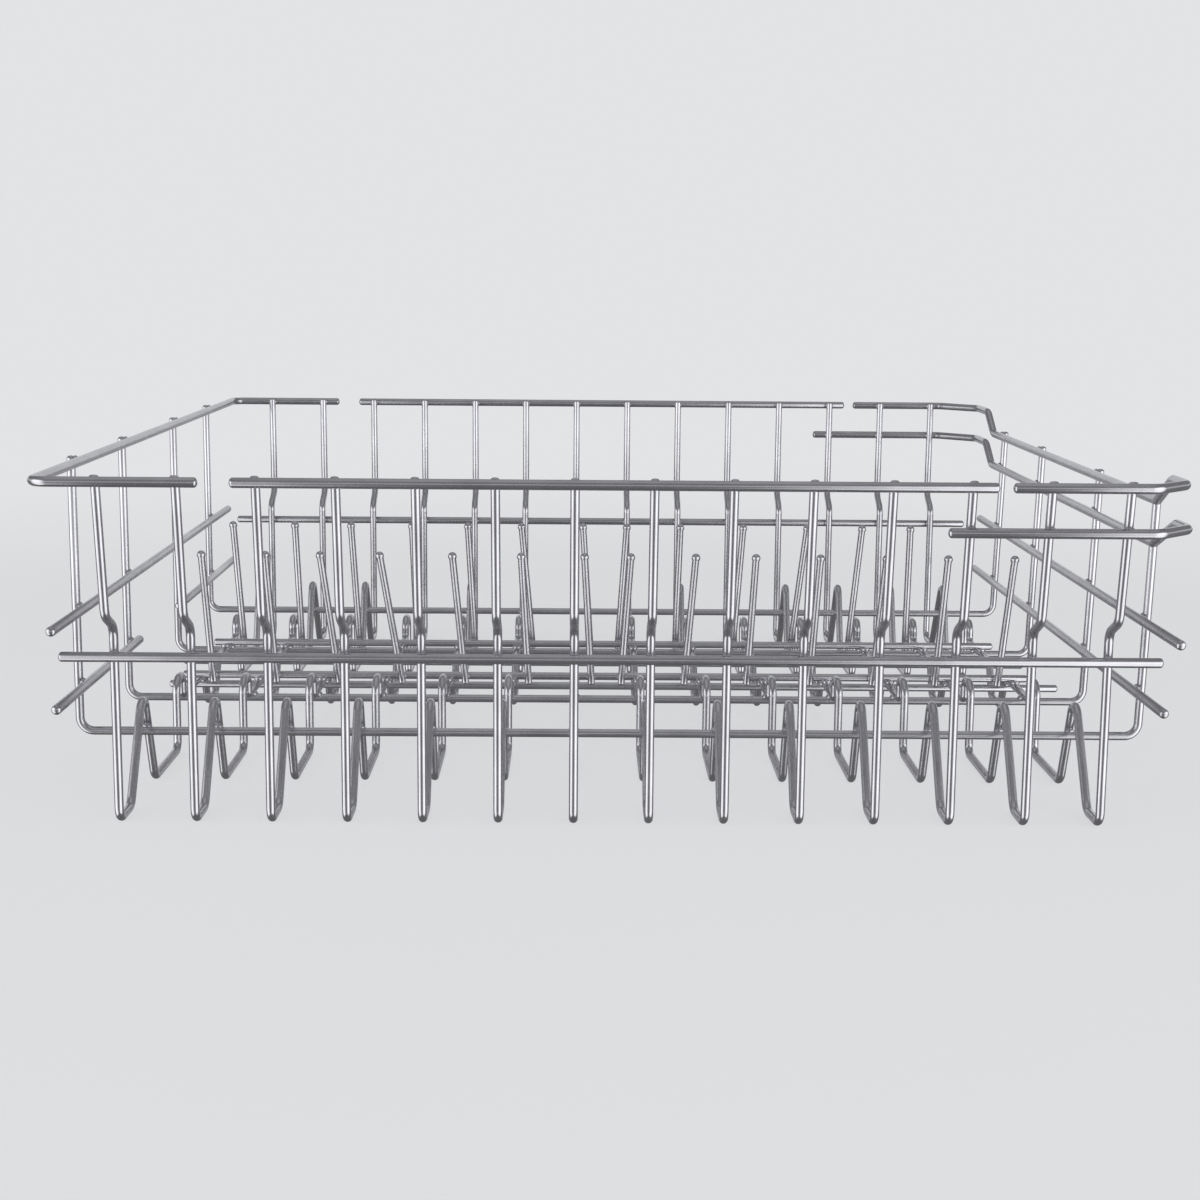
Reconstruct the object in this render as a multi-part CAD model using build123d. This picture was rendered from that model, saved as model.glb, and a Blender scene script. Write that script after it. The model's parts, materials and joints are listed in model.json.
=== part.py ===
from build123d import *
from math import cos, hypot, pi, radians, sin, tan
import os

# Dishwasher basket of welded, coated steel wire. Millimetres, +Z up, +X to the right, front towards -Y.
# The origin is under the middle of the basket, on the surface that it stands on.
# "Reach" is a distance towards the front or the back from the middle of the floor.
# Wires are drawn eight-sided, with each bend as short flats along its arc, so that the basket stays light.

# Wire sizes, measured across the flats
wire_diameter = 4.3
rail_diameter = 4.8
tine_diameter = 4.0
tine_tip_diameter = 5.0
weld_gap = 0.1
wire_sides = 8
turn_per_flat = radians(45)
bend_room_share = 0.48

# Base wires: pattern across the basket
base_wire_count = 14
base_wire_pitch = 36.0

# Base wires: floor profile, as widths added up from the middle towards each wall
middle_valley_width = 26.0
middle_limb_run = 10.0
shelf_length = 63.0
inner_peak_width = 17.0
long_valley_length = 60.0
outer_peak_inner_run = 19.0
outer_peak_width = 8.0
outer_peak_outer_run = 29.0
outer_valley_width = 24.0

# Base wires: heights of the wire's middle above the lowest wires
middle_valley_rise = 7.0
shelf_rise = 26.2
inner_peak_rise = 12.1
outer_peak_rise = 45.0

# Base wires: walls. The front leans out above its kink, the back leans in a little
kink_z = 95.5
kink_rise = 7.5
kink_depth = 16.0
front_lean = 10.5
back_lean = -1.5
wall_end_above_rim = 0.3

# Bend radii along the wire's middle
valley_bend = 6.0
middle_bend = 5.0
outer_peak_bend = 5.5
inner_peak_bend = 8.0
shelf_bend = 4.0
kink_bend = 7.0
cross_bend = 7.0
rim_bend = 8.0
rim_drop_bend = 14.0

# Rims and rails
rim_z = 166.9
rim_spacing = 21.0
rim_overhang = 11.0
right_rim_drop = 14.0
right_upper_rim_toe_in = 4.0
right_lower_rim_toe_in = 0.5
right_rim_back_toe_in = 2.0
right_rim_chamfer_front = 18.0
right_rim_chamfer_back = 24.0
right_rim_drop_ahead = 17.0
right_rim_drop_run = 37.0
right_rim_rise_behind = 14.0
right_rim_rise_run = 12.0
right_upper_rim_overhang = 19.0
front_lower_rail_z = 81.8
back_lower_rail_z = 84.0
lower_rail_inset = 8.0
left_side_rail_z = 93.5
right_upper_side_rail_z = 91.5
lower_side_rail_z = 55.0

# Cross wires, from side to side
side_gap = 33.0
right_splay = 5.0
outer_cross_z = 30.5
inner_cross_reach = 69.5
cross_end_above_rim = 0.3

# Rods across the floor, and the tines that stand on them
tine_rod_reach = 49.0
tine_rod_overhang = 7.0
support_rod_reach = 34.0
support_rod_inset = 10.0
front_support_rod_shift = 5.2
tine_pitch = 35.75
tine_first_x = 8.4
tine_foot_drop = 4.0
front_tine_tip_z = 104.5
back_tine_tip_z = 107.5

# How far each tine's tip leans away from the middle, from the middle outwards
front_left_leans = (4.5, 4.4, 7.5, 12.8, 10.4, 5.4, 5.4)
front_right_leans = (5.0, 6.0, 4.1, 4.8, 6.5, 5.5, 7.4)
back_left_leans = (5.2, 7.3, 4.5, 3.0, 4.8, 3.4, 5.6)
back_right_leans = (5.2, 2.3, 5.4, 9.2, 7.3, 1.2)

# How far each side rail runs ahead of the front cross wire and behind the back cross wire
left_side_rail_ends = (68.5, 50.5)
right_upper_side_rail_ends = (75.5, 41.5)
right_lower_side_rail_ends = (58.5, 49.5)
left_front_side_rail_ahead = 63.5
left_front_side_rail_behind = 9.5
left_back_side_rail_ahead = 20.5
left_back_side_rail_behind = 69.5

# Distances between the middles of wires that touch
corner_share = 1 / cos(pi / wire_sides)
wire_radius = wire_diameter / 2
rail_radius = rail_diameter / 2
tine_radius = tine_diameter / 2
wire_to_wire = wire_diameter + weld_gap
wire_to_rail = wire_radius + rail_radius + weld_gap
wire_to_tine = wire_radius + tine_radius + weld_gap
slanted_wire_to_wire = wire_radius + wire_radius * corner_share + weld_gap
slanted_wire_to_rail = wire_radius + rail_radius * corner_share + weld_gap

# Floor profile, worked out from the widths and heights
ground_z = wire_radius
middle_valley_z = ground_z + middle_valley_rise
shelf_z = ground_z + shelf_rise
inner_peak_z = shelf_z + inner_peak_rise
outer_peak_z = ground_z + outer_peak_rise
middle_valley_reach = middle_valley_width / 2
shelf_start = middle_valley_reach + middle_limb_run
shelf_end = shelf_start + shelf_length
long_valley_start = shelf_end + inner_peak_width
long_valley_end = long_valley_start + long_valley_length
outer_peak_start = long_valley_end + outer_peak_inner_run
outer_peak_end = outer_peak_start + outer_peak_width
outer_valley_start = outer_peak_end + outer_peak_outer_run
wall_reach = outer_valley_start + outer_valley_width
kink_reach = wall_reach + kink_depth
kink_top_z = kink_z + kink_rise
wall_top_z = rim_z + rail_radius + wall_end_above_rim

# Pattern across the basket
last_base_x = (base_wire_count - 1) / 2 * base_wire_pitch
side_x = last_base_x + side_gap
left_rail_x = wire_to_rail - side_x


def base_wire_x(number):
    """Place of a base wire across the right half, counted inwards from the last one."""
    return last_base_x - number * base_wire_pitch


def upright_reach(z, lean):
    """Reach of the middle of a wall's wires at a height above the kink."""
    return kink_reach + lean * (z - kink_top_z) / (rim_z - kink_top_z)


def rail_reach(z, lean):
    """Reach of the middle of a rail that lies against the outside of a leaning wall."""
    slope = lean / (rim_z - kink_top_z)
    return upright_reach(z, lean) + slanted_wire_to_rail * hypot(1, slope)


lower_rim_z = rim_z - rim_spacing
front_rim_reach = rail_reach(rim_z, front_lean)
back_rim_reach = rail_reach(rim_z, back_lean)
front_lower_rim_reach = rail_reach(lower_rim_z, front_lean)
back_lower_rim_reach = rail_reach(lower_rim_z, back_lean)

# The outer cross wires lie in the outer ridges, against their inner limbs
limb_slope = outer_peak_inner_run / (outer_peak_z - ground_z)
limb_reach = long_valley_end + limb_slope * (outer_cross_z - ground_z)
outer_cross_reach = limb_reach + slanted_wire_to_wire * hypot(1, limb_slope)
under_shelf_z = shelf_z - wire_to_wire
tine_rod_z = shelf_z + wire_to_wire


def front(reach):
    return -reach


def back(reach):
    return reach


def right_leg_x(z):
    """Place of the middle of the cross wires' right ends, which splay outwards up to the rim."""
    return side_x + right_splay * z / rim_z


def right_rail_x(z):
    """Place of the middle of a rail that lies against the inside of the right ends."""
    return right_leg_x(z) - slanted_wire_to_rail * hypot(1, right_splay / rim_z)


def bend(before, corner, after, radius):
    """Points of one bend, as flats that touch its arc. The arc is limited by the straights beside it."""
    arriving = (corner - before).normalized()
    leaving = (after - corner).normalized()
    turn = radians(arriving.get_angle(leaving))
    room = bend_room_share * min((corner - before).length, (after - corner).length)
    radius = min(radius, room / tan(turn / 2))
    inward = (leaving - arriving * arriving.dot(leaving)).normalized()
    centre = corner - arriving * (radius * tan(turn / 2)) + inward * radius
    flats = max(1, round(turn / turn_per_flat))
    corner_radius = radius / cos(turn / flats / 2)
    points = []
    for number in range(flats):
        angle = turn * (number + 0.5) / flats
        points.append(centre + (arriving * sin(angle) - inward * cos(angle)) * corner_radius)
    return points


def bent_wire(points, radii, diameter, across):
    """One length of wire along the points, bent at each inner point, with its flats square to across."""
    points = [Vector(*point) for point in points]
    path = [points[0]]
    for number, radius in enumerate(radii, start=1):
        path += bend(points[number - 1], points[number], points[number + 1], radius)
    path.append(points[-1])
    line = Polyline(*path)
    start = Plane(origin=path[0], x_dir=across, z_dir=path[1] - path[0])
    section = start * RegularPolygon(diameter / 2, wire_sides, major_radius=False, rotation=180 / wire_sides)
    return sweep(section, path=line, transition=Transition.RIGHT)


def straight_wire(start, end, diameter, across):
    """One straight length of wire, with its flats square to across."""
    start = Vector(*start)
    end = Vector(*end)
    plane = Plane(origin=start, x_dir=across, z_dir=end - start)
    section = plane * RegularPolygon(diameter / 2, wire_sides, major_radius=False, rotation=180 / wire_sides)
    return extrude(section, amount=(end - start).length)


def wall_points(side, lean):
    """One wall and its half of the floor, from the wall's top end to the middle valley."""
    return [
        (side(upright_reach(wall_top_z, lean)), wall_top_z),
        (side(kink_reach), kink_top_z),
        (side(wall_reach), kink_z),
        (side(wall_reach), ground_z),
        (side(outer_valley_start), ground_z),
        (side(outer_peak_end), outer_peak_z),
        (side(outer_peak_start), outer_peak_z),
        (side(long_valley_end), ground_z),
        (side(long_valley_start), ground_z),
        (side(long_valley_start), inner_peak_z),
        (side(shelf_end), inner_peak_z),
        (side(shelf_end), shelf_z),
        (side(shelf_start), shelf_z),
        (side(middle_valley_reach), middle_valley_z),
    ]


def base_wire():
    """One wire of the walls and floor, in the plane X = 0."""
    front_half = wall_points(front, front_lean)
    back_half = wall_points(back, back_lean)
    half_bends = 2 * [kink_bend] + 2 * [valley_bend] + 2 * [outer_peak_bend] + 2 * [valley_bend]
    half_bends += 2 * [inner_peak_bend] + [shelf_bend] + 2 * [middle_bend]
    points = [(0, y, z) for y, z in front_half + back_half[::-1]]
    return bent_wire(points, half_bends + half_bends[::-1], wire_diameter, (1, 0, 0))


def cross_wire(y, z, left_top_z, right_top_z):
    """A wide U from side to side, with its ends just above the rims."""
    points = [(-side_x, y, left_top_z), (-side_x, y, z)]
    points += [(right_leg_x(z), y, z), (right_leg_x(right_top_z), y, right_top_z)]
    return bent_wire(points, [cross_bend, cross_bend], wire_diameter, (0, 1, 0))


def left_rim():
    """Round the left side, from the second base wire at the front to the second at the back."""
    end_x = rim_overhang - base_wire_x(1)
    corner_x = left_rail_x
    front_y = front(front_rim_reach)
    back_y = back(back_rim_reach)
    outline = [(end_x, front_y), (corner_x, front_y), (corner_x, back_y), (end_x, back_y)]
    points = [(x, y, rim_z) for x, y in outline]
    return bent_wire(points, [rim_bend, rim_bend], rail_diameter, (0, 0, 1))


def right_rim(end_x, z, front_reach, back_reach, front_toe_in):
    """Round the right side, with cut corners and a side run that dips between the outer cross wires."""
    low_z = z - right_rim_drop
    side_run_x = right_rail_x(low_z)
    front_x = side_run_x - front_toe_in
    back_x = side_run_x - right_rim_back_toe_in
    drop_end_y = front(outer_cross_reach + right_rim_drop_ahead)
    rise_start_y = back(outer_cross_reach + right_rim_rise_behind)
    front_y = front(front_reach)
    back_y = back(back_reach)
    points = [
        (end_x, front_y, z),
        (front_x - right_rim_chamfer_front, front_y, z),
        (front_x, front_y + right_rim_chamfer_front, z),
        (front_x, drop_end_y - right_rim_drop_run, z),
        (side_run_x, drop_end_y, low_z),
        (side_run_x, rise_start_y, low_z),
        (back_x, rise_start_y + right_rim_rise_run, z),
        (back_x, back_y - right_rim_chamfer_back, z),
        (back_x - right_rim_chamfer_back, back_y, z),
        (end_x, back_y, z),
    ]
    radii = [rim_bend, rim_bend] + 4 * [rim_drop_bend] + [rim_bend, rim_bend]
    return bent_wire(points, radii, rail_diameter, (0, 0, 1))


def cross_rail(y, z, half_length, diameter):
    """A straight length from side to side."""
    return straight_wire((-half_length, y, z), (half_length, y, z), diameter, (0, 1, 0))


def side_rail(x, front_y, back_y, z):
    """A straight length along one side, inside the cross wires' ends."""
    return straight_wire((x, front_y, z), (x, back_y, z), rail_diameter, (1, 0, 0))


def side_rail_past_cross_wires(x, ends, z):
    """A side rail that runs past the outer cross wires at the front and the back."""
    ahead, behind = ends
    return side_rail(x, front(outer_cross_reach + ahead), back(outer_cross_reach + behind), z)


def tine(x, y, lean, tip_z):
    """One tine that leans in the plane of its row, with a tip that swells a little before its end."""
    foot = Vector(x, y, tine_rod_z - tine_foot_drop)
    tip = Vector(x + lean, y, tip_z)
    swell = tine_tip_diameter / 2
    length = (tip - foot).length
    stations = [(0, tine_radius), (length - 2 * swell, tine_radius)]
    stations += [(length - swell, swell), (length, swell / 2)]
    sections = []
    for along, radius in stations:
        plane = Plane(origin=foot + (tip - foot).normalized() * along, x_dir=(0, 1, 0), z_dir=tip - foot)
        outline = RegularPolygon(radius, wire_sides, major_radius=False, rotation=180 / wire_sides)
        sections.append(plane * outline)
    return loft(sections, ruled=True)


def tine_row(y, left_leans, right_leans, tip_z):
    """A row of separate tines, counted outwards from the middle on each side."""
    tines = []
    for number, lean in enumerate(left_leans):
        tines.append(tine(-tine_first_x - number * tine_pitch, y, -lean, tip_z))
    for number, lean in enumerate(right_leans):
        tines.append(tine(tine_first_x + number * tine_pitch, y, lean, tip_z))
    return Compound(tines)


def make_base_wires():
    pattern = base_wire()
    wires = {}
    for number in range(base_wire_count):
        x = base_wire_x(base_wire_count - 1 - number)
        wires[f"base_wire_{number + 1:02d}"] = Pos(x, 0, 0) * pattern
    return wires


def make_cross_wires():
    left_top_z = rim_z + rail_radius + cross_end_above_rim
    right_top_z = left_top_z - right_rim_drop
    places = [
        (front(outer_cross_reach), outer_cross_z),
        (front(inner_cross_reach), under_shelf_z),
        (back(inner_cross_reach), under_shelf_z),
        (back(outer_cross_reach), outer_cross_z),
    ]
    wires = {}
    for number, (y, z) in enumerate(places, start=1):
        wires[f"cross_wire_{number}"] = cross_wire(y, z, left_top_z, right_top_z)
    return wires


def make_rims():
    upper_end_x = base_wire_x(1) - right_upper_rim_overhang
    lower_end_x = base_wire_x(2) - rim_overhang
    top_rail_half = base_wire_x(2) + rim_overhang
    upper = (upper_end_x, rim_z, front_rim_reach, back_rim_reach, right_upper_rim_toe_in)
    lower = (lower_end_x, lower_rim_z, front_lower_rim_reach, back_lower_rim_reach, right_lower_rim_toe_in)
    return {
        "front_top_rail": cross_rail(front(front_rim_reach), rim_z, top_rail_half, rail_diameter),
        "back_top_rail": cross_rail(back(back_rim_reach), rim_z, top_rail_half, rail_diameter),
        "left_rim": left_rim(),
        "right_upper_rim": right_rim(*upper),
        "right_lower_rim": right_rim(*lower),
    }


def make_rails():
    lower_half = side_x - lower_rail_inset
    lower_reach = wall_reach + wire_to_rail
    front_part = (
        front(outer_cross_reach + left_front_side_rail_ahead),
        front(inner_cross_reach - left_front_side_rail_behind),
    )
    back_part = (
        back(inner_cross_reach - left_back_side_rail_ahead),
        back(outer_cross_reach + left_back_side_rail_behind),
    )
    return {
        "front_lower_rail": cross_rail(front(lower_reach), front_lower_rail_z, lower_half, rail_diameter),
        "back_lower_rail": cross_rail(back(lower_reach), back_lower_rail_z, lower_half, rail_diameter),
        "left_side_rail": side_rail_past_cross_wires(left_rail_x, left_side_rail_ends, left_side_rail_z),
        "left_front_side_rail": side_rail(left_rail_x, *front_part, lower_side_rail_z),
        "left_back_side_rail": side_rail(left_rail_x, *back_part, lower_side_rail_z),
        "right_upper_side_rail": side_rail_past_cross_wires(
            right_rail_x(right_upper_side_rail_z), right_upper_side_rail_ends, right_upper_side_rail_z
        ),
        "right_lower_side_rail": side_rail_past_cross_wires(
            right_rail_x(lower_side_rail_z), right_lower_side_rail_ends, lower_side_rail_z
        ),
    }


def make_rods_and_tines():
    tine_rod_half = last_base_x + tine_rod_overhang
    support_rod_half = side_x - support_rod_inset
    tine_reach = tine_rod_reach + wire_to_tine
    tine_rod = (tine_rod_z, tine_rod_half, wire_diameter)
    support_rod = (under_shelf_z, support_rod_half, wire_diameter)
    shifted = Pos(front_support_rod_shift, 0, 0)
    return {
        "front_tine_rod": cross_rail(front(tine_rod_reach), *tine_rod),
        "back_tine_rod": cross_rail(back(tine_rod_reach), *tine_rod),
        "front_support_rod": shifted * cross_rail(front(support_rod_reach), *support_rod),
        "back_support_rod": cross_rail(back(support_rod_reach), *support_rod),
        "front_tines": tine_row(front(tine_reach), front_left_leans, front_right_leans, front_tine_tip_z),
        "back_tines": tine_row(back(tine_reach), back_left_leans, back_right_leans, back_tine_tip_z),
    }


nodes = make_base_wires() | make_cross_wires() | make_rims() | make_rails() | make_rods_and_tines()
boxes = [shape.bounding_box() for shape in nodes.values()]
middle_x = (min(box.min.X for box in boxes) + max(box.max.X for box in boxes)) / 2
middle_y = (min(box.min.Y for box in boxes) + max(box.max.Y for box in boxes)) / 2
centring = Pos(-middle_x, -middle_y, 0)
os.makedirs("parts", exist_ok=True)
for name, shape in nodes.items():
    solids = [centring * solid for solid in shape.solids()]
    export_step(Compound(solids), f"parts/{name}.step")
print(f"floor middle at X {-middle_x:.3f}, Y {-middle_y:.3f}")
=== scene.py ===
import json
import math

import bpy
import numpy as np
from mathutils import Matrix, Vector


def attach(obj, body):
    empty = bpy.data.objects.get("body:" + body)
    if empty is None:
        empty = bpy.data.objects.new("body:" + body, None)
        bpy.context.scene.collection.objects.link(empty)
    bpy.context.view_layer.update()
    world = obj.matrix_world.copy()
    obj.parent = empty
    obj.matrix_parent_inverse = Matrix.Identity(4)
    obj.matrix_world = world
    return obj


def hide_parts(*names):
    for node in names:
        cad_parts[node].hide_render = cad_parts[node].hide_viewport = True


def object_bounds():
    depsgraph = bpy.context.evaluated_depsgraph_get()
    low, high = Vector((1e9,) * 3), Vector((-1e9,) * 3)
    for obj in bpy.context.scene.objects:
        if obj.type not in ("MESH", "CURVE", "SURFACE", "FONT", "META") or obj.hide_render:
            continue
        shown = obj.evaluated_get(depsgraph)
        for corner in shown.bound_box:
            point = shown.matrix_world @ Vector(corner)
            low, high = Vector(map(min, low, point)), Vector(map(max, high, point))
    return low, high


# The frame's wires have eight flat sides and mitred bends. Each is replaced here by a round wire of the same
# size on the same centre line, with true arcs and rounded ends, and the welds are filled where wires cross.

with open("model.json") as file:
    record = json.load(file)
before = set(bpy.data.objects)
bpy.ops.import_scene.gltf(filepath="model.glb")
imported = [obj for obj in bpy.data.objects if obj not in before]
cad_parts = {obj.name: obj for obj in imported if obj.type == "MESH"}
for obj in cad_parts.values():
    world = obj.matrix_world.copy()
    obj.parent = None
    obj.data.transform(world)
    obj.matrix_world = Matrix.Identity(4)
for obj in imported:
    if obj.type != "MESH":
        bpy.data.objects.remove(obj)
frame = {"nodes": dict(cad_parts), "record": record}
cad_low, cad_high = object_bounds()

MM = 0.001

# Reading the frame's wires, whose corners are compared in millimetres.
CAD_SIDES = 8
LARGEST_END = 6
CORNER_DIGITS = 3
PLACE_DIGITS = 1
SWELL_SHARE = 1.1

# Round wires.
ROUND_SIDES = 20
LARGEST_BEND = 8 * MM
ARC_STEP = math.radians(9)
FEWEST_ARC_STEPS = 2
SHORTEST_STEP = 0.02 * MM
END_DOME_SHARE = 0.65
END_DOME_ANGLES = [math.radians(a) for a in (75, 60, 42, 22)]
BALL_STEPS = 9
BALL_FIRST_ANGLE = math.radians(78)

# Weld beads.
WELD_REACH = 0.4 * MM
WELD_SPACING = 6 * MM
WELD_WIDTH_SHARE = 1.32
WELD_DEPTH_SHARE = 0.8
WELD_RINGS = 7
WELD_SIDES = 12
PARALLEL = 1e-18

# Satin silver coating.
WIRE_COLOUR = (0.505, 0.50, 0.53)
# Painted shade: the rails get a slightly darker copy of the wire coating, for the darker look of the level rails
# under this light.
SHADED_RAIL_COLOUR = (0.465, 0.46, 0.49)
METALLIC = 0.95
COATING_IOR = 1.5
COAT_WEIGHT = 0.08
COAT_ROUGHNESS = 0.12
ROUGHNESS = 0.22
ROUGHNESS_SPREAD = 0.02
MOTTLE_SCALE, MOTTLE_DETAIL = 55, 4
MOTTLE_FROM, MOTTLE_TO = 0.3, 0.7
MOTTLE_DARK, MOTTLE_LIGHT = 0.9, 1.08
GRAIN_SCALE, GRAIN_DETAIL = 900, 3
RIPPLE_SCALE, RIPPLE_DETAIL = 140, 2
RIPPLE_STRENGTH = 0.03
RIPPLE_HEIGHT = 0.15 * MM


def flat_faces(mesh):
    """Corners of each flat face of the frame's mesh, whose faces share no vertices."""
    group = list(range(len(mesh.vertices)))

    def root(index):
        while group[index] != index:
            group[index] = group[group[index]]
            index = group[index]
        return index

    for polygon in mesh.polygons:
        first = root(polygon.vertices[0])
        for index in polygon.vertices[1:]:
            group[root(index)] = first
    faces = {}
    for vertex in mesh.vertices:
        corner = tuple(round(c / MM, CORNER_DIGITS) for c in vertex.co)
        faces.setdefault(root(vertex.index), set()).add(corner)
    return [frozenset(face) for face in faces.values()]


def solids_in(faces):
    """Faces grouped into solids by the corners that they share."""
    solids = []
    for face in faces:
        corners = set(face)
        members = [face]
        apart = []
        for solid in solids:
            if solid[0].isdisjoint(face):
                apart.append(solid)
            else:
                corners |= solid[0]
                members += solid[1]
        solids = apart + [(corners, members)]
    return solids


def is_end(face):
    """Whether a flat face is the end of a wire."""
    return len(face) == CAD_SIDES and np.ptp(np.array(sorted(face)), axis=0).max() < LARGEST_END


def straight_rings(corners, first, last):
    """Rings of a straight wire, from its corners' places along it, or None if the wire is bent."""
    start = np.array(sorted(first)).mean(axis=0)
    finish = np.array(sorted(last)).mean(axis=0)
    axis = (finish - start) / np.linalg.norm(finish - start)
    places = {}
    for corner in corners:
        from_start = np.array(corner) - start
        along = from_start @ axis
        if np.linalg.norm(from_start - along * axis) > LARGEST_END:
            return None
        places.setdefault(round(along, PLACE_DIGITS), []).append(corner)
    return [places[along] for along in sorted(places) if len(places[along]) >= CAD_SIDES]


def bent_rings(faces, first):
    """Rings of a bent wire, found by walking from its first end along its four-cornered sides."""
    sides_at = {}
    for face in faces:
        if len(face) == 4:
            for corner in face:
                sides_at.setdefault(corner, set()).add(face)
    passed = set()
    rings = []
    ring = first
    while ring:
        rings.append(ring)
        sides = {face for corner in ring for face in sides_at[corner]} - passed
        passed |= sides
        ring = frozenset(corner for face in sides for corner in face) - ring
    return rings


def wires_of(node):
    """For each wire in a node: its centre line, its radius, and the radius of its tip where that swells."""
    wires = []
    for corners, faces in solids_in(flat_faces(frame["nodes"][node].data)):
        ends = sorted((face for face in faces if is_end(face)), key=lambda face: min(c[2] for c in face))
        straight = straight_rings(corners, *ends)
        rings = straight or bent_rings(faces, ends[0])
        points = []
        radii = []
        for ring in rings:
            places = np.array(sorted(ring)) * MM
            centre = places.mean(axis=0)
            spread = np.linalg.norm(places - centre, axis=1).mean()
            points.append(Vector(centre))
            radii.append(spread * math.cos(math.pi / CAD_SIDES))
        if straight:
            points = [points[0], points[-1]]
        swollen = straight and max(radii) > SWELL_SHARE * radii[0]
        wires.append((points, radii[0], max(radii) if swollen else None))
    return wires


def rounded(points):
    """The centre line with each corner as an arc."""
    path = [points[0]]
    for before, corner, after in zip(points, points[1:], points[2:]):
        into = corner - before
        out = after - corner
        turn = into.angle(out)
        half_tangent = math.tan(turn / 2)
        reach = min(into.length / 2, out.length / 2, LARGEST_BEND * half_tangent)
        bend = reach / half_tangent
        along = into.normalized()
        inward = (out - along * out.dot(along)).normalized()
        start = corner - along * reach
        steps = max(FEWEST_ARC_STEPS, math.ceil(turn / ARC_STEP))
        for step in range(steps + 1):
            angle = turn * step / steps
            point = start + along * bend * math.sin(angle) + inward * bend * (1 - math.cos(angle))
            if (point - path[-1]).length > SHORTEST_STEP:
                path.append(point)
    path.append(points[-1])
    return path


def dome(end, inward, width):
    """Rings of a rounded wire end, from its tip inwards."""
    height = END_DOME_SHARE * width
    rings = [(end + inward * height * (1 - math.sin(a)), width * math.cos(a)) for a in END_DOME_ANGLES]
    return rings + [(end + inward * height, width)]


def ball(end, inward, width, neck):
    """Rings of a ball tip, from its tip inwards to where it meets its neck."""
    last = -math.acos(neck / width)
    angles = [BALL_FIRST_ANGLE + (last - BALL_FIRST_ANGLE) * n / BALL_STEPS for n in range(BALL_STEPS + 1)]
    return [(end + inward * width * (1 - math.sin(a)), width * math.cos(a)) for a in angles]


def wire_stations(points, radius, tip_radius):
    """First point, rings and last point of a wire: a tine ends in a ball, and any other end is rounded."""
    path = rounded(points)
    back = (path[-2] - path[-1]).normalized()
    tail = ball(path[-1], back, tip_radius, radius) if tip_radius else dome(path[-1], back, radius)
    head = dome(path[0], (path[1] - path[0]).normalized(), radius)
    middle = [(point, radius) for point in path[1:-1]]
    return path[0], head + middle + tail[::-1], path[-1]


def skin(vertices, faces, start, stations, finish):
    """Adds the closed round skin of one wire."""
    centres = [point for point, _ in stations]
    side = (centres[1] - centres[0]).orthogonal().normalized()
    base = len(vertices)
    for number, (centre, width) in enumerate(stations):
        ahead = centres[min(number + 1, len(centres) - 1)]
        behind = centres[max(number - 1, 0)]
        tangent = ((ahead - centre).normalized() + (centre - behind).normalized()).normalized()
        side = (side - tangent * side.dot(tangent)).normalized()
        other = tangent.cross(side)
        for step in range(ROUND_SIDES):
            angle = 2 * math.pi * step / ROUND_SIDES
            vertices.append(centre + (side * math.cos(angle) + other * math.sin(angle)) * width)
    for row in range(len(stations) - 1):
        low = base + row * ROUND_SIDES
        for step in range(ROUND_SIDES):
            after = (step + 1) % ROUND_SIDES
            faces.append((low + step, low + after, low + ROUND_SIDES + after, low + ROUND_SIDES + step))
    top = base + (len(stations) - 1) * ROUND_SIDES
    first_tip = len(vertices)
    vertices.append(start)
    vertices.append(finish)
    for step in range(ROUND_SIDES):
        after = (step + 1) % ROUND_SIDES
        faces.append((base + after, base + step, first_tip))
        faces.append((top + step, top + after, first_tip + 1))


def add_piece(name, vertices, faces, material):
    """Adds a smooth mesh with one material."""
    mesh = bpy.data.meshes.new(name)
    mesh.from_pydata([tuple(v) for v in vertices], [], faces)
    mesh.shade_smooth()
    mesh.materials.append(material)
    piece = bpy.data.objects.new(name, mesh)
    bpy.context.scene.collection.objects.link(piece)
    return piece


def add_noise(tree, place, scale, detail):
    """Adds a noise texture to a node tree."""
    noise = tree.nodes.new("ShaderNodeTexNoise")
    noise.inputs["Scale"].default_value = scale
    noise.inputs["Detail"].default_value = detail
    tree.links.new(place.outputs["Object"], noise.inputs["Vector"])
    return noise.outputs["Fac"]


def add_math(tree, operation, first, second):
    """Adds a Math node on two sockets to a node tree."""
    node = tree.nodes.new("ShaderNodeMath")
    node.operation = operation
    tree.links.new(first, node.inputs[0])
    tree.links.new(second, node.inputs[1])
    return node.outputs["Value"]


def add_smooth_step(tree, value, start, end, low):
    """Adds a smooth change to a node tree, from low, at start, to 1, at end."""
    step = tree.nodes.new("ShaderNodeMapRange")
    step.interpolation_type = "SMOOTHSTEP"
    step.inputs["From Min"].default_value = start
    step.inputs["From Max"].default_value = end
    step.inputs["To Min"].default_value = low
    tree.links.new(value, step.inputs["Value"])
    return step.outputs["Result"]


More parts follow.
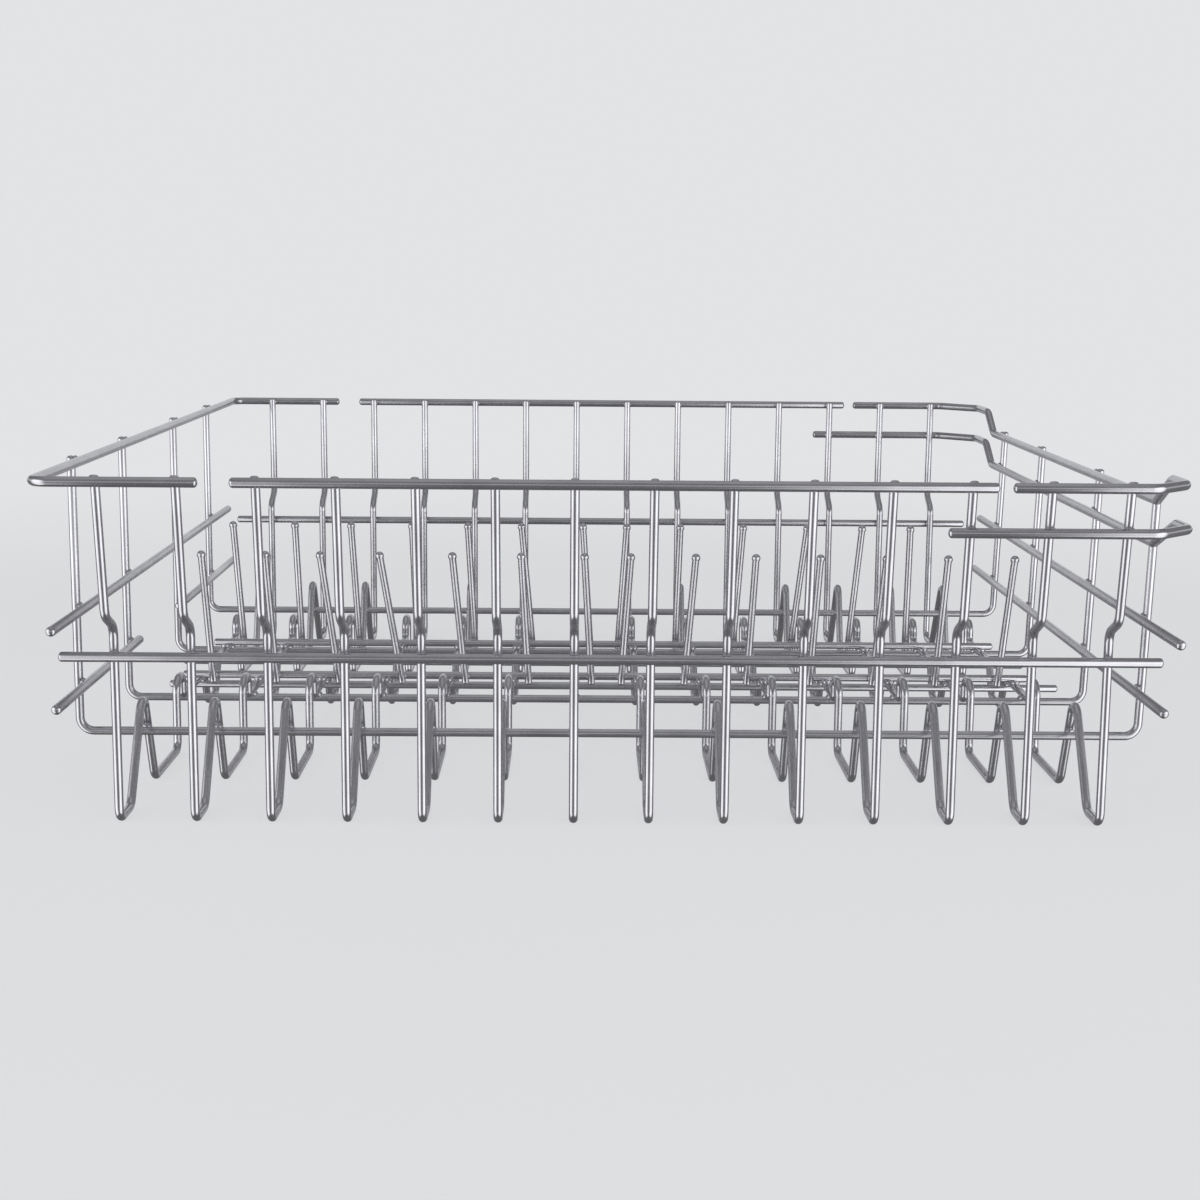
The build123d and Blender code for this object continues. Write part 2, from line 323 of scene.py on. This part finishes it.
def coated_metal(name, colour):
    """Satin silver coating: even grey with a fine ripple, faint mottling and small changes of gloss."""
    material = bpy.data.materials.new(name)
    material.use_nodes = True
    tree = material.node_tree
    link = tree.links.new
    shader = tree.nodes["Principled BSDF"]
    shader.inputs["Metallic"].default_value = METALLIC
    shader.inputs["IOR"].default_value = COATING_IOR
    shader.inputs["Coat Weight"].default_value = COAT_WEIGHT
    shader.inputs["Coat Roughness"].default_value = COAT_ROUGHNESS
    place = tree.nodes.new("ShaderNodeTexCoord")

    tint = tree.nodes.new("ShaderNodeValToRGB")
    dark, light = tint.color_ramp.elements
    dark.position = MOTTLE_FROM
    dark.color = (*[c * MOTTLE_DARK for c in colour], 1)
    light.position = MOTTLE_TO
    light.color = (*[c * MOTTLE_LIGHT for c in colour], 1)
    link(add_noise(tree, place, MOTTLE_SCALE, MOTTLE_DETAIL), tint.inputs["Fac"])
    link(tint.outputs["Color"], shader.inputs["Base Color"])

    gloss = tree.nodes.new("ShaderNodeMapRange")
    gloss.inputs["To Min"].default_value = ROUGHNESS - ROUGHNESS_SPREAD
    gloss.inputs["To Max"].default_value = ROUGHNESS + ROUGHNESS_SPREAD
    link(add_noise(tree, place, GRAIN_SCALE, GRAIN_DETAIL), gloss.inputs["Value"])
    link(gloss.outputs["Result"], shader.inputs["Roughness"])

    bump = tree.nodes.new("ShaderNodeBump")
    bump.inputs["Strength"].default_value = RIPPLE_STRENGTH
    bump.inputs["Distance"].default_value = RIPPLE_HEIGHT
    link(add_noise(tree, place, RIPPLE_SCALE, RIPPLE_DETAIL), bump.inputs["Height"])
    link(bump.outputs["Normal"], shader.inputs["Normal"])
    return material


materials = {
    "coated_wire": coated_metal("coated_wire_look", WIRE_COLOUR),
    "coated_rail": coated_metal("coated_rail_shaded_look", SHADED_RAIL_COLOUR),
    "coated_tine": coated_metal("coated_tine_look", WIRE_COLOUR),
}
slot_of = {entry["node"]: entry["material_slot"] for entry in frame["record"]["subparts"]}

lines = []
for node in sorted(frame["nodes"]):
    vertices = []
    faces = []
    for points, radius, tip_radius in wires_of(node):
        skin(vertices, faces, *wire_stations(points, radius, tip_radius))
        lines.append((points, radius))
    piece = add_piece("round_" + node, vertices, faces, materials[slot_of[node]])
    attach(piece, "root")
    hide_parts(node)


def clamped(value, low, high):
    return min(max(value, low), high)


def nearest(a0, a1, b0, b1):
    """Nearest points of two stretches of wire."""
    along_a = a1 - a0
    along_b = b1 - b0
    gap = a0 - b0
    aa = along_a.dot(along_a)
    bb = along_b.dot(along_b)
    ab = along_a.dot(along_b)
    a_gap = along_a.dot(gap)
    b_gap = along_b.dot(gap)
    scale = aa * bb - ab * ab
    on_a = clamped((ab * b_gap - a_gap * bb) / scale, 0, 1) if scale > PARALLEL else 0.5
    on_b = clamped((ab * on_a + b_gap) / bb, 0, 1)
    on_a = clamped((ab * on_b - a_gap) / aa, 0, 1)
    return a0 + along_a * on_a, b0 + along_b * on_b


def weld_places():
    """Each crossing where two wires touch: its gap, its middle, the ways across and along it, and its width."""
    welds = []
    boxes = [(np.array(p).min(axis=0) - r, np.array(p).max(axis=0) + r) for p, r in lines]
    for i, (points_a, radius_a) in enumerate(lines):
        for j in range(i + 1, len(lines)):
            points_b, radius_b = lines[j]
            low = np.maximum(boxes[i][0], boxes[j][0])
            high = np.minimum(boxes[i][1], boxes[j][1])
            if np.any(low - WELD_REACH > high):
                continue
            found = []
            for a0, a1 in zip(points_a, points_a[1:]):
                for b0, b1 in zip(points_b, points_b[1:]):
                    on_a, on_b = nearest(a0, a1, b0, b1)
                    gap = (on_b - on_a).length - radius_a - radius_b
                    if gap < WELD_REACH:
                        across = (on_b - on_a).normalized()
                        middle = on_a + across * (radius_a + gap / 2)
                        found.append((gap, middle, across, (a1 - a0).normalized(), min(radius_a, radius_b)))
            for weld in sorted(found, key=lambda entry: entry[0]):
                if all((weld[1] - other[1]).length > WELD_SPACING for other in welds):
                    welds.append(weld)
    return welds


def add_weld(vertices, faces, middle, across, along, width):
    """A flattened bead that fills the corner between two crossing wires."""
    along = (along - across * along.dot(across)).normalized()
    other = across.cross(along)
    base = len(vertices)
    for ring in range(1, WELD_RINGS):
        slope = math.pi * ring / WELD_RINGS
        for step in range(WELD_SIDES):
            angle = 2 * math.pi * step / WELD_SIDES
            spread = width * WELD_WIDTH_SHARE * math.sin(slope)
            sideways = along * math.cos(angle) + other * math.sin(angle)
            vertices.append(middle + sideways * spread + across * width * WELD_DEPTH_SHARE * math.cos(slope))
    for row in range(WELD_RINGS - 2):
        low = base + row * WELD_SIDES
        for step in range(WELD_SIDES):
            after = (step + 1) % WELD_SIDES
            faces.append((low + step, low + WELD_SIDES + step, low + WELD_SIDES + after, low + after))
    tip = len(vertices)
    vertices.append(middle + across * width * WELD_DEPTH_SHARE)
    vertices.append(middle - across * width * WELD_DEPTH_SHARE)
    last = base + (WELD_RINGS - 2) * WELD_SIDES
    for step in range(WELD_SIDES):
        after = (step + 1) % WELD_SIDES
        faces.append((base + step, base + after, tip))
        faces.append((last + after, last + step, tip + 1))


weld_vertices = []
weld_faces = []
for _, middle, across, along, width in weld_places():
    add_weld(weld_vertices, weld_faces, middle, across, along, width)
# A bead on an outer wire would stand proud of the part's box.
for vertex in weld_vertices:
    for axis in range(3):
        vertex[axis] = clamped(vertex[axis], cad_low[axis], cad_high[axis])
weld_piece = add_piece("weld_beads", weld_vertices, weld_faces, materials["coated_wire"])
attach(weld_piece, "root")

# Stage, in metres: a pale floor, a pale backdrop far behind the basket, a dim sheet below the floor that paints a
# shaded reflection into the wires, and low pale walls around them.
FLOOR_REACH = 30
BACKDROP_Y = 6
BACKDROP_HALF_WIDTH = 3.2
SHADE_SHEET_LOW = -3
BACKDROP_LOW = -0.1
BACKDROP_HIGH = 3
WALLS_REACH = 7
WALLS_HIGH = 1.6
STAGE_COLOUR = (0.76, 0.77, 0.785, 1)
# Painted shade: the dim colour of the sheet below the floor, seen only in the wires' reflections.
MIRRORED_SHADE_COLOUR = (0.42, 0.42, 0.43, 1)
PAPER_DARK = (0.86, 0.87, 0.89, 1)
PAPER_LIGHT = (0.89, 0.90, 0.92, 1)
PAPER_ROUGHNESS = 0.9
PAPER_SPECULAR = 0.1
PAPER_SCALE, PAPER_DETAIL = 3, 2
FLOOR_SHADE_SHARE = 0.4
NEAR_LIFT = 0.5
EVEN_FROM = 0.5
EVEN_TO = 1.6


def stage_look(name, colour, shade_share):
    """Plain paper of an even colour. Near the basket a share of it is lit by the lamps and takes its shadow."""
    material = bpy.data.materials.new(name)
    material.use_nodes = True
    tree = material.node_tree
    link = tree.links.new
    paper = tree.nodes["Principled BSDF"]
    paper.inputs["Roughness"].default_value = PAPER_ROUGHNESS
    paper.inputs["Specular IOR Level"].default_value = PAPER_SPECULAR
    place = tree.nodes.new("ShaderNodeTexCoord")
    tint = tree.nodes.new("ShaderNodeValToRGB")
    tint.color_ramp.elements[0].color = PAPER_DARK
    tint.color_ramp.elements[1].color = PAPER_LIGHT
    link(add_noise(tree, place, PAPER_SCALE, PAPER_DETAIL), tint.inputs["Fac"])
    link(tint.outputs["Color"], paper.inputs["Base Color"])

    distance = tree.nodes.new("ShaderNodeVectorMath")
    distance.operation = "LENGTH"
    link(place.outputs["Object"], distance.inputs[0])
    distance = distance.outputs["Value"]
    even = tree.nodes.new("ShaderNodeEmission")
    even.inputs["Color"].default_value = colour
    # The lamps light the paper below the even level, and the lift makes up for it.
    lift = add_smooth_step(tree, distance, EVEN_FROM, EVEN_TO, 1 + NEAR_LIFT * shade_share)
    link(lift, even.inputs["Strength"])

    rays = tree.nodes.new("ShaderNodeLightPath").outputs
    seen = add_math(tree, "MAXIMUM", rays["Is Camera Ray"], rays["Is Glossy Ray"])
    seen = add_math(tree, "MAXIMUM", seen, rays["Is Transmission Ray"])
    far = add_smooth_step(tree, distance, EVEN_FROM, EVEN_TO, 1 - shade_share)
    mix = tree.nodes.new("ShaderNodeMixShader")
    link(add_math(tree, "MULTIPLY", seen, far), mix.inputs["Fac"])
    link(paper.outputs["BSDF"], mix.inputs[1])
    link(even.outputs["Emission"], mix.inputs[2])
    link(mix.outputs["Shader"], tree.nodes["Material Output"].inputs["Surface"])
    return material


def square(reach):
    """Corners of a level square around the basket."""
    return [(-reach, -reach), (reach, -reach), (reach, reach), (-reach, reach)]


def add_backdrop(name, low, high, colour):
    """A sheet behind the basket."""
    corners = [
        (-BACKDROP_HALF_WIDTH, BACKDROP_Y, low), (BACKDROP_HALF_WIDTH, BACKDROP_Y, low),
        (BACKDROP_HALF_WIDTH, BACKDROP_Y, high), (-BACKDROP_HALF_WIDTH, BACKDROP_Y, high),
    ]
    add_piece(name, corners, [(0, 1, 2, 3)], stage_look(name + "_look", colour, 0))


# In the photograph nothing lies below the basket's foot, and its upright wires mirror the lights. Here they would
# mirror the floor instead, so it is left out of the mirror rays and lets the light of the soft boxes through.
floor_corners = [(x, y, 0) for x, y in square(FLOOR_REACH)]
floor_look = stage_look("floor_look", STAGE_COLOUR, FLOOR_SHADE_SHARE)
floor = add_piece("floor", floor_corners, [(0, 1, 2, 3)], floor_look)
floor.visible_glossy = False
floor.visible_shadow = False

# Below the floor hangs a dim sheet that only the wires mirror: a painted reflection of shaded paper, which
# darkens the lower sides of the wires.
add_backdrop("backdrop", BACKDROP_LOW, BACKDROP_HIGH, STAGE_COLOUR)
add_backdrop("mirrored_shade_sheet", SHADE_SHEET_LOW, BACKDROP_LOW, MIRRORED_SHADE_COLOUR)

# The walls are the background of views from behind and from the sides.
wall_corners = [(x, y, z) for z in (BACKDROP_LOW, WALLS_HIGH) for x, y in square(WALLS_REACH)]
wall_faces = [(n, (n + 1) % 4, (n + 1) % 4 + 4, n + 4) for n in range(4)]
add_piece("low_walls", wall_corners, wall_faces, stage_look("low_walls_look", STAGE_COLOUR, 0))

# Lights.
SOFT_EDGE_SHARE = 0.38
AIM_SHARE = 0.5
WORLD_BELOW = 0.15
WORLD_ABOVE = 0.32
WORLD_COLOUR = (0.98, 0.99, 1, 1)


def soft_box(name, azimuth, distance, height, size, radiance):
    """A soft box that faces the basket, brightest along its middle and fading to its left and right edges.

    Azimuth is in degrees, seen from above, from the front round to the right.
    """
    angle = math.radians(azimuth)
    place = Vector((distance * math.sin(angle), -distance * math.cos(angle), height))
    lamp = bpy.data.lights.new(name, "AREA")
    lamp.shape = "RECTANGLE"
    lamp.size, lamp.size_y = size
    lamp.energy = radiance * math.pi * size[0] * size[1]
    lamp.use_nodes = True
    tree = lamp.node_tree
    link = tree.links.new
    place_on_box = tree.nodes.new("ShaderNodeNewGeometry")
    split = tree.nodes.new("ShaderNodeSeparateXYZ")
    link(place_on_box.outputs["Parametric"], split.inputs["Vector"])
    from_edge = tree.nodes.new("ShaderNodeMath")
    from_edge.operation = "PINGPONG"
    from_edge.inputs[1].default_value = 0.5
    link(split.outputs["X"], from_edge.inputs[0])
    fade_in = add_smooth_step(tree, from_edge.outputs["Value"], 0, SOFT_EDGE_SHARE, 0)
    link(fade_in, tree.nodes["Emission"].inputs["Strength"])
    box = bpy.data.objects.new(name, lamp)
    box.location = place
    aim = Vector((0, 0, height * AIM_SHARE)) - place
    box.rotation_euler = aim.to_track_quat("-Z", "Y").to_euler()
    box.visible_camera = False
    bpy.context.scene.collection.objects.link(box)


soft_box("left_soft_box", azimuth=-59, distance=1.6, height=-0.35, size=(2.5, 2.6), radiance=1.75)
soft_box("right_soft_box", azimuth=50, distance=1.6, height=-0.35, size=(2.7, 2.6), radiance=1.85)
soft_box("top_soft_box", azimuth=0, distance=0.01, height=2.4, size=(3.5, 3.5), radiance=0.2)

# A dim room, darker below.
world = bpy.data.worlds.new("studio")
bpy.context.scene.world = world
world.use_nodes = True
world_nodes = world.node_tree.nodes
world_link = world.node_tree.links.new
direction = world_nodes.new("ShaderNodeTexCoord")
upness = world_nodes.new("ShaderNodeSeparateXYZ")
world_link(direction.outputs["Generated"], upness.inputs["Vector"])
fade = world_nodes.new("ShaderNodeMapRange")
fade.inputs["From Min"].default_value = -1
fade.inputs["To Min"].default_value = WORLD_BELOW
fade.inputs["To Max"].default_value = WORLD_ABOVE
world_link(upness.outputs["Z"], fade.inputs["Value"])
world_link(fade.outputs["Result"], world_nodes["Background"].inputs["Strength"])
world_nodes["Background"].inputs["Color"].default_value = WORLD_COLOUR

# Camera, fitted to the photograph.
CAMERA_PLACE = (-18.92 * MM, -1159.29 * MM, 264.22 * MM)
CAMERA_YAW = math.radians(0.653)
CAMERA_PITCH = math.radians(9.526)
CAMERA_ROLL = math.radians(0.466)
SENSOR = 36
LENS = 59.86
CLIP_END = 100

forward = Vector((
    math.sin(CAMERA_YAW) * math.cos(CAMERA_PITCH),
    math.cos(CAMERA_YAW) * math.cos(CAMERA_PITCH),
    -math.sin(CAMERA_PITCH),
))
level = Vector((math.cos(CAMERA_YAW), -math.sin(CAMERA_YAW), 0))
upward = level.cross(forward)
right = level * math.cos(CAMERA_ROLL) + upward * math.sin(CAMERA_ROLL)
upward = upward * math.cos(CAMERA_ROLL) - level * math.sin(CAMERA_ROLL)
camera_data = bpy.data.cameras.new("camera")
camera_data.lens = LENS
camera_data.sensor_width = SENSOR
camera_data.sensor_fit = "HORIZONTAL"
camera_data.clip_end = CLIP_END
camera = bpy.data.objects.new("camera", camera_data)
turned = Matrix((right, upward, -forward)).transposed().to_4x4()
camera.matrix_world = Matrix.Translation(CAMERA_PLACE) @ turned
bpy.context.scene.collection.objects.link(camera)
bpy.context.scene.camera = camera

bpy.context.scene.view_settings.view_transform = "Standard"
